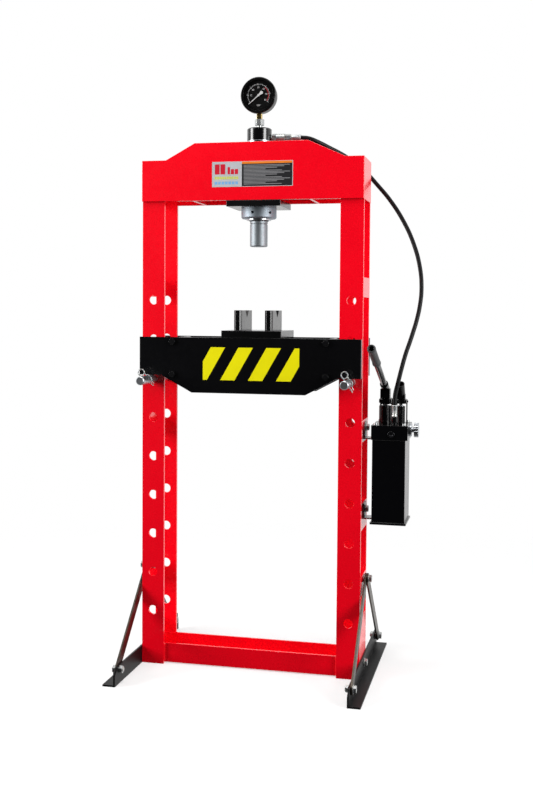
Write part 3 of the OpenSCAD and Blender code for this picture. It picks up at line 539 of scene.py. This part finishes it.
class PRESS_OT_stage(bpy.types.Operator):
    """Adds the camera, the lights and the pale studio floor"""
    bl_idname = "press.stage"
    bl_label = "Stage"

    def execute(self, context):
        setting = context.scene.press_stage
        self.camera(context, setting)
        self.world(context, setting)
        self.floor(setting)
        half_height = 0.85
        target = MIDDLE + Vector((0, 0, half_height))
        self.softbox("left_softbox", MIDDLE + Vector((-3.4, -1.7, 1.9)), target, 1.6, 2.4, 165)
        self.softbox("right_softbox", MIDDLE + Vector((3.4, -1.6, 1.8)), target, 1.5, 2.4, 135)
        self.softbox("top_softbox", MIDDLE + Vector((0, -0.9, 3.9)), target, 2.4, 1.6, 60)
        return {"FINISHED"}

    def camera(self, context, setting):
        data = bpy.data.cameras.new("camera")
        data.sensor_width = 36
        data.lens = setting.lens
        data.shift_y = setting.shift_y
        made = bpy.data.objects.new("camera", data)
        turn = Matrix.Rotation(setting.camera_turn, 4, "Z")
        dip = Matrix.Rotation(pi / 2 - setting.camera_dip, 4, "X")
        roll = Matrix.Rotation(setting.camera_roll, 4, "Z")
        place = Matrix.Translation(MIDDLE + Vector(setting.camera_offset))
        made.matrix_world = place @ turn @ dip @ roll
        context.scene.collection.objects.link(made)
        context.scene.camera = made

    def world(self, context, setting):
        """A white backdrop behind the press and a dim room in front of it."""
        world = bpy.data.worlds.new("studio")
        world.use_nodes = True
        tree = world.node_tree
        background = tree.nodes["Background"]
        background.inputs["Color"].default_value = (1, 1, 1, 1)
        look = tree.nodes.new("ShaderNodeTexCoord")
        split = tree.nodes.new("ShaderNodeSeparateXYZ")
        tree.links.new(look.outputs["Generated"], split.inputs[0])
        depth = tree.nodes.new("ShaderNodeMapRange")
        depth.interpolation_type = "SMOOTHSTEP"
        for name, value in (("From Min", -0.35), ("From Max", 0.35),
                            ("To Min", setting.front_light), ("To Max", setting.back_light)):
            depth.inputs[name].default_value = value
        tree.links.new(split.outputs["Y"], depth.inputs["Value"])
        path = tree.nodes.new("ShaderNodeLightPath")
        seen = tree.nodes.new("ShaderNodeMix")
        tree.links.new(path.outputs["Is Camera Ray"], seen.inputs[0])
        tree.links.new(depth.outputs["Result"], seen.inputs[2])
        seen.inputs[3].default_value = 1.0
        tree.links.new(seen.outputs[0], background.inputs["Strength"])
        context.scene.world = world
        context.scene.view_settings.view_transform = "Standard"

    def floor(self, setting):
        """A round floor that fades into the white backdrop and isn't seen in reflections."""
        bm = bmesh.new()
        bmesh.ops.create_circle(bm, cap_ends=True, radius=7, segments=96)
        mesh = bpy.data.meshes.new("studio_floor")
        bm.to_mesh(mesh)
        bm.free()
        made = bpy.data.objects.new("studio_floor", mesh)
        made.location = MIDDLE
        finish = Finish("studio_floor")
        reach = finish.node("ShaderNodeVectorMath", {"operation": "LENGTH"}, {0: finish.place})
        fade = Level(finish, reach.outputs["Value"]).between(0.5, 2.2)
        strongest = 0.4
        finish.shade(Base_Color=tint(setting.floor_colour), Roughness=0.7,
                     Alpha=strongest - fade * strongest)
        mesh.materials.append(finish.material)
        made.visible_glossy = False
        made.visible_diffuse = False
        bpy.context.scene.collection.objects.link(made)

    def softbox(self, name, place, target, width, height, power):
        data = bpy.data.lights.new(name, "AREA")
        data.shape = "RECTANGLE"
        data.size = width
        data.size_y = height
        data.energy = power
        made = bpy.data.objects.new(name, data)
        made.matrix_world = aim(place, place - target)
        bpy.context.scene.collection.objects.link(made)


class PRESS_OT_hose(bpy.types.Operator):
    """Adds the hydraulic hose and its two crimped sleeves"""
    bl_idname = "press.hose"
    bl_label = "Hose"

    def execute(self, context):
        detail = context.scene.press_detail
        paint = context.scene.press_paint
        black = rubber("hose_rubber", (0.004, 0.004, 0.0045), 0.36, 900, 0.06, 0.2)
        points = [MIDDLE + Vector(point) for point in HOSE_ROUTE]
        hose = wire("pressure_hose", points, detail.hose_diameter, black, "frame")
        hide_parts("hydraulic_hose")
        sleeves = self.sleeves(points, detail, zinc("sleeve_zinc", paint.bright_metal))
        return {"FINISHED"}

    def sleeves(self, points, detail, finish):
        """Sleeves with a collar at each end and flats pressed round the middle."""
        bm = bmesh.new()
        start_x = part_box("hose_coupler")[1].x
        start_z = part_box("pump_hose_fitting")[1].z
        upper = Vector((start_x, points[0].y, points[0].z))
        lower = Vector((points[-1].x, points[-1].y, start_z))
        upper_r, lower_r = 8.5 * MM, 7.5 * MM
        for start, end, radius in ((upper, points[0], upper_r), (lower, points[-1], lower_r)):
            self.sleeve(bm, start, end, radius, detail.crimp_flats)
        made = piece("crimped_sleeves", bm, finish, "frame")
        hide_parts("crimp_sleeves")
        return made

    def sleeve(self, bm, start, end, radius, flats):
        place = aim(start, end - start)
        length = (end - start).length
        outline = [(0.0, 0.93, 0), (0.03, 1.0, 0), (0.12, 1.0, 0), (0.16, 0.9, 0), (0.22, 0.9, 0),
                   (0.26, 0.99, 1), (0.86, 0.99, 1), (0.92, 1.0, 0), (0.97, 1.0, 0), (1.0, 0.9, 0)]
        rings = []
        for share, scale, pressed in outline:
            def profile(angle, scale=scale, pressed=pressed):
                half = pi / flats
                flat = cos(half) / cos((angle % (2 * half)) - half)
                return radius * scale * (flat * 0.95 if pressed else 1)
            rings.append(ring(place, profile, length * share, 6 * flats))
        skin(bm, rings)


class PRESS_OT_frame(bpy.types.Operator):
    """Paints the welded frame red and adds its weld beads"""
    bl_idname = "press.frame"
    bl_label = "Frame"

    def execute(self, context):
        paint = context.scene.press_paint
        detail = context.scene.press_detail
        red = enamel("frame_red", paint.frame_red, roughness=0.24, coat=0.3)
        dress(["left_front_upright", "left_rear_upright", "right_front_upright",
               "right_rear_upright", "tie_plates", "crosshead_front_plate",
               "crosshead_rear_plate", "crosshead_cross_plates", "base_channel"],
              red, detail.plate_edge)
        self.welds(detail.weld_radius, red)
        return {"FINISHED"}

    def welds(self, radius, red):
        bm = bmesh.new()
        low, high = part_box("tie_plates")
        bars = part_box("left_front_upright")[1].x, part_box("right_front_upright")[0].x
        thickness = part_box("left_front_upright")[1].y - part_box("left_front_upright")[0].y
        for x, side in ((low.x + thickness, -1), (high.x - thickness, 1)):
            for bottom, top in self.plate_heights(side):
                for y in (low.y, high.y):
                    bead(bm, (x, y, bottom + 2 * MM), (x, y, top - 2 * MM), radius)
        channel_low, channel_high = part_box("base_channel")
        for x in bars:
            for y in (channel_low.y, channel_high.y):
                bead(bm, (x, y, channel_low.z), (x, y, channel_high.z), radius)
        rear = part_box("crosshead_rear_plate")[0]
        for low_x, high_x in ((low.x, bars[0]), (bars[1], high.x)):
            bead(bm, (low_x + 3 * MM, rear.y, rear.z), (high_x - 3 * MM, rear.y, rear.z), radius)
        piece("weld_beads", bm, red, "frame")

    def plate_heights(self, side):
        """Bottom and top of each tie plate on one side, read from the plates' own corners."""
        heights = sorted({round(v.co.z, 4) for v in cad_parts["tie_plates"].data.vertices
                          if abs(v.co.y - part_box("tie_plates")[0].y) < 0.1 * MM
                          and (v.co.x - MIDDLE.x) * side > 0})
        return list(zip(heights[::2], heights[1::2]))


class PRESS_OT_label(bpy.types.Operator):
    """Adds the plain printed label on the crosshead"""
    bl_idname = "press.label"
    bl_label = "Label"

    def execute(self, context):
        dress(["label_plate"], film("label_film", (0.50, 0.51, 0.53), 0.3))
        self.print_on("label_dark_panel", (0.016, 0.016, 0.018), self.dark_panel())
        self.print_on("label_orange_strip", (0.85, 0.22, 0.02), self.strip())
        self.print_on("label_grey_lines", (0.30, 0.30, 0.31), self.lines())
        self.print_on("label_red_blocks", (0.62, 0.01, 0.03), self.blocks())
        self.print_on("label_lime_band", (0.62, 0.66, 0.10), self.band(0.30, 10))
        self.print_on("label_blue_band", (0.20, 0.42, 0.72), self.band(0.10, 7))
        return {"FINISHED"}

    def print_on(self, name, colour, boxes):
        """Thin printed shapes, given as shares of the label's width and height."""
        low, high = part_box("label_plate")
        size = high - low
        bm = bmesh.new()
        for left, bottom, right, top, lift in boxes:
            slab(bm, (low.x + left * size.x, low.y - lift * MM, low.z + bottom * size.z),
                 (low.x + right * size.x, low.y + 0.1 * MM, low.z + top * size.z))
        piece(name, bm, film(name, colour), "frame", smooth=False)

    def dark_panel(self):
        return [(0.372, 0.02, 0.992, 0.985, 0.08)]

    def strip(self):
        return [(0.372, 0.90, 0.992, 0.985, 0.14)]

    def lines(self):
        """Rows of fine lines that get shorter in steps."""
        rows = []
        for k in range(15):
            bottom = 0.83 - k * 0.053
            cut = (0.0, 0.07, 0.16, 0.30, 0.10)[k % 5]
            rows.append((0.395, bottom, 0.965 - cut, bottom + 0.022, 0.13))
        return rows

    def blocks(self):
        return [(0.035, 0.50, 0.095, 0.90, 0.1), (0.105, 0.50, 0.165, 0.90, 0.1),
                (0.195, 0.50, 0.225, 0.78, 0.1), (0.235, 0.50, 0.275, 0.70, 0.1),
                (0.285, 0.50, 0.325, 0.70, 0.1)]

    def band(self, bottom, count):
        width = 0.3 / count
        return [(0.035 + k * width, bottom, 0.035 + (k + 0.75) * width, bottom + 0.11, 0.1)
                for k in range(count)]


class PRESS_OT_gauge(bpy.types.Operator):
    """Finishes the pressure gauge and prints its scale"""
    bl_idname = "press.gauge"
    bl_label = "Gauge"
    scale_r = 30.5 * MM
    number_r = 22.4 * MM
    number_size = 6.2 * MM
    red_zone_inner_r = 27.4 * MM
    red_zone_outer_r = 29.2 * MM
    red_zone_start = 0.66

    def execute(self, context):
        paint = context.scene.press_paint
        detail = context.scene.press_detail
        case = enamel("gauge_case_black", (0.002, 0.002, 0.002), 0.24, 0.1, shine=0.3)
        dress(["gauge_case", "gauge_bezel"], case, 0.5 * MM)
        dress(["gauge_dial"], enamel("gauge_dial_black", (0.001, 0.001, 0.001), 0.7, 0, shine=0.15))
        dress(["gauge_lens"], clear_lens("gauge_window"))
        white = film("gauge_print_white", (0.85, 0.85, 0.85), 0.45)
        dress(["gauge_needle"], white)
        dress(["gauge_stem"], steel("gauge_brass", paint.brass, 0.22, (60, 60, 900)), 0.8 * MM)
        dress(["gauge_adaptor"], zinc("adaptor_zinc", paint.bright_metal), 0.8 * MM)
        self.scale(detail, white)
        self.red_zone(detail, film("gauge_print_red", (0.55, 0.02, 0.03), 0.45))
        self.numbers(detail, white)
        self.vent(rubber("gauge_vent_rubber", (0.01, 0.01, 0.01)))
        return {"FINISHED"}

    def face(self):
        """The dial's middle on its front face."""
        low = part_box("gauge_dial")[0]
        hub = centre("gauge_dial")
        return Vector((hub.x, low.y, hub.z))

    def spoke(self, angle, radius):
        return self.face() + Vector((cos(angle), 0, sin(angle))) * radius

    def arc(self, bm, start, sweep, inner, outer, lift):
        """A flat band on the dial from one angle through a sweep."""
        steps = max(2, round(abs(sweep) / radians(2)))
        rows = []
        for k in range(steps + 1):
            angle = start - sweep * k / steps
            rows.append([bm.verts.new(self.spoke(angle, r) + FRONT * d)
                         for r, d in ((inner, 0), (inner, lift), (outer, lift), (outer, 0))])
        for a, b in zip(rows, rows[1:]):
            for k in range(4):
                nxt = (k + 1) % 4
                bm.faces.new((a[k], a[nxt], b[nxt], b[k]))
        bm.faces.new(rows[0][::-1])
        bm.faces.new(rows[-1])

    def scale(self, detail, white):
        """A ring line with long, middle and short marks."""
        bm = bmesh.new()
        radius = self.scale_r
        lift = 0.12 * MM
        marks_per_step = 10
        self.arc(bm, detail.scale_zero, detail.scale_sweep, radius, radius + 0.7 * MM, lift)
        total = detail.scale_steps * marks_per_step
        for k in range(total + 1):
            angle = detail.scale_zero - detail.scale_sweep * k / total
            long_mark = k % marks_per_step == 0
            length = 7.0 if long_mark else 3.6 if k % 5 == 0 else 2.2
            half = 0.012 if long_mark else 0.006
            start = radius - (2.5 * MM if long_mark else 0)
            self.arc(bm, angle + half, 2 * half, start, start + length * MM, lift)
        piece("gauge_scale", bm, white, "frame", smooth=False)

    def red_zone(self, detail, red):
        bm = bmesh.new()
        start = detail.scale_zero - detail.scale_sweep * self.red_zone_start
        self.arc(bm, start, detail.scale_sweep * (1 - self.red_zone_start),
                 self.red_zone_inner_r, self.red_zone_outer_r, 0.1 * MM)
        piece("gauge_red_zone", bm, red, "frame", smooth=False)

    def numbers(self, detail, white):
        """Plain numbers inside the scale, one at each long mark."""
        bm = bmesh.new()
        for k in range(detail.scale_steps + 1):
            text = bpy.data.curves.new("number", "FONT")
            text.body = str(k * detail.scale_unit)
            text.size = self.number_size
            text.align_x = text.align_y = "CENTER"
            text.extrude = 0.05 * MM
            holder = bpy.data.objects.new("number", text)
            mesh = bpy.data.meshes.new_from_object(holder)
            angle = detail.scale_zero - detail.scale_sweep * k / detail.scale_steps
            spot = self.spoke(angle, self.number_r) + FRONT * 0.06 * MM
            mesh.transform(Matrix.Translation(spot) @ Matrix.Rotation(pi / 2, 4, "X"))
            bm.from_mesh(mesh)
            bpy.data.objects.remove(holder)
            bpy.data.meshes.remove(mesh)
        for half_width, below in ((5.5 * MM, 26.5 * MM), (3.5 * MM, 29 * MM)):
            spot = self.face() - UP * below
            slab(bm, spot - Vector((half_width, 0.1 * MM, 0.5 * MM)),
                 spot + Vector((half_width, 0, 0.5 * MM)))
        piece("gauge_numbers", bm, white, "frame", smooth=False)

    def vent(self, black):
        """Rubber blow-out plug in the back of the case."""
        bm = bmesh.new()
        hub = centre("gauge_case")
        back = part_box("gauge_case")[1].y
        place = aim((hub.x, back - 4 * MM, hub.z + 22 * MM), -FRONT)
        outline = [(9, 0), (9, 4), (8, 5.5), (3, 6.2)]
        lathe(bm, place, [(r * MM, h * MM) for r, h in outline], 32)
        piece("gauge_vent_plug", bm, black, "frame")


class PRESS_OT_ram(bpy.types.Operator):
    """Finishes the ram, its nut and its fittings"""
    bl_idname = "press.ram"
    bl_label = "Ram"

    def execute(self, context):
        paint = context.scene.press_paint
        edge = context.scene.press_detail.part_edge
        metal = paint.bright_metal
        dress(["ram_mount_plate"], enamel("mount_plate_black", paint.bed_black, 0.24, 0.2),
              1.2 * MM)
        dress(["ram_head"], enamel("ram_head_black", paint.pump_black, 0.16, 0.4), 1.0 * MM)
        dress(["ram_barrel"], steel("barrel_steel", metal, 0.24), edge)
        dress(["ram_ring_nut"], steel("ring_nut_steel", (0.29, 0.33, 0.37), 0.5, (60, 60, 1500)),
              1.2 * MM)
        dress(["ram_gland"], steel("gland_steel", metal, 0.35), edge)
        dress(["ram_rod"], steel("rod_chrome", (0.27, 0.30, 0.32), 0.5, (20, 20, 2600), 0.05),
              edge)
        dress(["ram_piston"], steel("piston_steel", metal, 0.3), edge)
        dress(["return_spring"], steel("spring_steel", (0.30, 0.30, 0.31), 0.4, (300, 300, 300)))
        dress(["hose_coupler"], zinc("coupler_zinc", metal), edge)
        self.wiper(rubber("wiper_rubber", (0.012, 0.012, 0.012), 0.5))
        return {"FINISHED"}

    def wiper(self, black):
        """Wiper seal round the rod, under the gland."""
        low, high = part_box("ram_gland")
        rod_low, rod_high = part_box("ram_rod")
        hub = centre("ram_gland")
        inner = (rod_high.x - rod_low.x) / 2 + 0.15 * MM
        outer = (high.x - low.x) / 2 - 0.2 * MM
        bm = bmesh.new()
        lathe(bm, aim((hub.x, hub.y, low.z), UP),
              [(inner, -2.2 * MM), (inner + 1.2 * MM, -2.2 * MM), (outer, -0.6 * MM),
               (outer, 0.4 * MM), (inner, 0.4 * MM)], 64, joined=True)
        piece("rod_wiper", bm, black, "frame")


class PRESS_OT_bed(bpy.types.Operator):
    """Paints the bed and finishes its bolts, spacers and stripes"""
    bl_idname = "press.bed"
    bl_label = "Bed"

    def execute(self, context):
        paint = context.scene.press_paint
        detail = context.scene.press_detail
        black = enamel("bed_black", paint.bed_black, 0.2, 0.1, wear=0.3, shine=0.3)
        dress(["bed_front_plate", "bed_rear_plate"], black, detail.plate_edge)
        dress(["bed_tie_bolts"], enamel("bolt_black", paint.bed_black, 0.24, 0.15, wear=0.5),
              0.9 * MM)
        dress(["bed_spacers"], steel("spacer_steel", (0.34, 0.34, 0.35), 0.4, (50, 1500, 50)),
              detail.part_edge)
        dress(["hazard_stripes"], film("stripe_yellow", paint.stripe_yellow, 0.3, 0.03))
        return {"FINISHED"}


class PRESS_OT_pins(bpy.types.Operator):
    """Finishes the bed pins and bends their wire clips"""
    bl_idname = "press.pins"
    bl_label = "Bed pins"

    def execute(self, context):
        paint = context.scene.press_paint
        detail = context.scene.press_detail
        turned = steel("pin_steel", paint.bright_metal, 0.3, (50, 1800, 50))
        dress(["left_bed_pin", "right_bed_pin"], turned, 0.5 * MM)
        plated = zinc("clip_zinc", paint.bright_metal)
        for side, lean in (("left", detail.left_clip_lean), ("right", detail.right_clip_lean)):
            made = wire(f"{side}_wire_clip", self.bends(side, lean, detail.clip_wire),
                        detail.clip_wire, plated, f"{side}_pin")
            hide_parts(f"{side}_pin_clip")
        return {"FINISHED"}

    def bends(self, side, lean, wire_d):
        """A leg through the pin, an eye of one and a half turns and a bow round the pin."""
        hub = centre(f"{side}_bed_pin")
        hub.y = centre(f"{side}_pin_clip").y
        pin_low, pin_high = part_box(f"{side}_bed_pin")
        bow_r = (pin_high.x - pin_low.x + wire_d) / 2 + 1 * MM
        eye_r, eye_z, leg, aside = 9 * MM, 24 * MM, 27 * MM, wire_d * 1.1
        path = [(0, 0, -leg), (0, 0, -leg / 2), (0, 0, 0), (0, 0, eye_z * 0.6)]
        for k in range(21):
            angle = pi - radians(30) * k
            path.append((eye_r * (1 + cos(angle)) - 1 * MM, aside * k / 20,
                         eye_z + eye_r * sin(angle)))
        path += [(bow_r * cos(radians(d)), aside, bow_r * sin(radians(d)))
                 for d in (42, 22, 0, -20, -40, -60)]
        path += [(bow_r * 0.42, aside, -bow_r * 1.15), (bow_r * 0.30, aside, -bow_r * 1.6)]
        turn = Matrix.Rotation(-lean, 4, "Y")
        return [hub + turn @ Vector(point) for point in path]


class PRESS_OT_blocks(bpy.types.Operator):
    """Finishes the loose slab and the two V-blocks"""
    bl_idname = "press.blocks"
    bl_label = "Press blocks"

    def execute(self, context):
        black = black_oxide("block_black", (0.002, 0.002, 0.0022))
        dress(["press_slab", "left_v_block", "right_v_block"], black, 1.0 * MM)
        return {"FINISHED"}


class PRESS_OT_pump(bpy.types.Operator):
    """Finishes the hand pump, its brackets and its knob"""
    bl_idname = "press.pump"
    bl_label = "Pump"

    def execute(self, context):
        paint = context.scene.press_paint
        edge = context.scene.press_detail.part_edge
        metal = paint.bright_metal
        black = enamel("pump_black", paint.pump_black, 0.2, 0.05, shine=0.3)
        dress(["pump_reservoir", "pump_valve_block", "pump_barrels", "fulcrum_posts",
               "pump_lever", "second_lever", "pump_hose_fitting"], black, 1.0 * MM)
        for name in ("main_plunger", "small_plunger"):
            dress([name], self.plunger(f"{name}_steel", metal, paint.pump_black), edge)
        dress(["release_valve", "release_knob"],
              steel("knob_steel", metal, 0.26, (1500, 60, 60)), edge)
        dress(["filler_plug"], steel("plug_steel", (0.05, 0.05, 0.055), 0.3), edge)
        plated = zinc("bracket_zinc", metal)
        dress(["pump_brackets", "bracket_bolts"], plated, 0.8 * MM)
        self.screws(plated)
        self.gasket(rubber("gasket_rubber", (0.02, 0.02, 0.02), 0.6))
        return {"FINISHED"}

    def plunger(self, name, bright, dark):
        """Ground bright in the barrel and blackened above it."""
        finish = Finish(name)
        split = finish.node("ShaderNodeSeparateXYZ", None, {0: finish.place})
        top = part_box("pump_barrels")[1].z + 4 * MM
        above = Level(finish, split.outputs["Z"]).between(top, top + 0.6 * MM)
        cut = finish.noise(1, 5, (60, 60, 1800))
        finish.shade(Base_Color=finish.mix(above, tint(bright), tint(dark)),
                     Metallic=1 - above, Roughness=0.16 + cut * 0.16)
        finish.relief(cut, 0.01 * MM)
        return finish.material

    def screws(self, plated):
        """Four cap screws that hold the valve block on the tank."""
        low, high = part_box("pump_valve_block")
        inset = 11 * MM
        bm = bmesh.new()
        for x in (low.x + inset, high.x - inset):
            for y in (low.y + inset, high.y - inset):
                socket_screw(bm, (x, y, high.z), UP, 5 * MM, 6 * MM)
        piece("pump_cap_screws", bm, plated, "frame", edge=0.2 * MM)

    def gasket(self, black):
        """A thin gasket squeezed out under the valve block."""
        low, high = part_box("pump_reservoir")
        block_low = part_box("pump_valve_block")[0]
        lip = 3.3 * MM
        bm = bmesh.new()
        slab(bm, (low.x + lip, low.y + lip, block_low.z - 1.2 * MM),
             (high.x - lip, high.y - lip, block_low.z))
        piece("tank_gasket", bm, black, "frame", edge=0.3 * MM)


class PRESS_OT_handle(bpy.types.Operator):
    """Finishes the pump handle and moulds its grip"""
    bl_idname = "press.handle"
    bl_label = "Handle"

    def execute(self, context):
        slope = context.scene.press_detail.handle_slope
        tube = steel("handle_steel", (0.10, 0.10, 0.105), 0.2, (900, 60, 60))
        dress(["handle_tube"], tube, 0.4 * MM)
        self.grip(slope, rubber("grip_rubber", (0.03, 0.031, 0.033), 0.45, 1400, 0.06))
        return {"FINISHED"}

    def grip(self, slope, soft):
        """A slip-on grip with a rolled end, a collar and shallow rings."""
        low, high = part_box("handle_grip")
        radius = (high.x - low.x) / 2
        length = (high.y - low.y - 2 * radius * sin(slope)) / cos(slope)
        along = Vector((0, -cos(slope), sin(slope)))
        bore = 8.5 * MM
        place = aim((low + high) / 2 - along * length / 2, along)
        outline = [(bore, 0), (radius * 0.86, 0), (radius * 0.97, 1.5 * MM), (radius, 4 * MM),
                   (radius, 7 * MM), (radius * 0.93, 9 * MM)]
        rings = 11
        start, end = 14 * MM, length - 22 * MM
        for k in range(rings):
            at = start + (end - start) * k / (rings - 1)
            outline += [(radius * 0.93, at), (radius * 0.885, at + 1.2 * MM),
                        (radius * 0.885, at + 2.0 * MM), (radius * 0.93, at + 3.2 * MM)]
        outline += [(radius * 0.94, length - 12 * MM), (radius * 0.99, length - 8 * MM),
                    (radius, length - 5 * MM), (radius * 0.97, length - 1.8 * MM),
                    (radius * 0.88, length - 0.3 * MM), (radius * 0.76, length),
                    (radius * 0.66, length - 1.5 * MM), (radius * 0.62, length - 4 * MM),
                    (radius * 0.62, length - 7 * MM), (bore, length - 8 * MM)]
        bm = bmesh.new()
        lathe(bm, place, outline, 48, joined=True)
        made = piece("rubber_grip", bm, soft, "lever")
        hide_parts("handle_grip")


class PRESS_OT_feet(bpy.types.Operator):
    """Finishes the feet, the braces and their bolts"""
    bl_idname = "press.feet"
    bl_label = "Feet and braces"

    def execute(self, context):
        paint = context.scene.press_paint
        black = enamel("foot_black", (0.003, 0.003, 0.0033), 0.45, 0.0, wear=0.5, shine=0.2)
        dress(["left_foot", "right_foot"], black, 0.9 * MM)
        dress(["foot_braces"], steel("brace_steel", paint.brace_grey, 0.32, (60, 300, 300), 0.5),
              0.8 * MM)
        dress(["foot_bolts"], zinc("foot_bolt_zinc", paint.bright_metal), 0.8 * MM)
        return {"FINISHED"}


class PRESS_PT_panel(bpy.types.Panel):
    """Sizes, colours and steps of the press"""
    bl_idname = "PRESS_PT_panel"
    bl_label = "Workshop Press"
    bl_space_type = "VIEW_3D"
    bl_region_type = "UI"
    bl_category = "Press"

    def draw(self, context):
        layout = self.layout
        for group in SETTINGS:
            settings = getattr(context.scene, group)
            box = layout.box()
            for name in settings.__class__.__annotations__:
                box.prop(settings, name)
        for step in STEPS:
            layout.operator(step.bl_idname)


SETTINGS = {"press_stage": PressStageSettings, "press_paint": PressPaintSettings,
            "press_detail": PressDetailSettings}
STEPS = (PRESS_OT_stage, PRESS_OT_hose, PRESS_OT_frame, PRESS_OT_label, PRESS_OT_gauge,
         PRESS_OT_ram, PRESS_OT_bed, PRESS_OT_pins, PRESS_OT_blocks, PRESS_OT_pump,
         PRESS_OT_handle, PRESS_OT_feet)


def register():
    for made in (*SETTINGS.values(), *STEPS, PRESS_PT_panel):
        bpy.utils.register_class(made)
    for name, group in SETTINGS.items():
        setattr(bpy.types.Scene, name, bpy.props.PointerProperty(type=group))


def unregister():
    for name in SETTINGS:
        delattr(bpy.types.Scene, name)
    for made in reversed((*SETTINGS.values(), *STEPS, PRESS_PT_panel)):
        bpy.utils.unregister_class(made)


def main():
    register()
    for step in STEPS:
        getattr(bpy.ops.press, step.bl_idname.split(".")[1])()


if __name__ == "__main__":
    main()
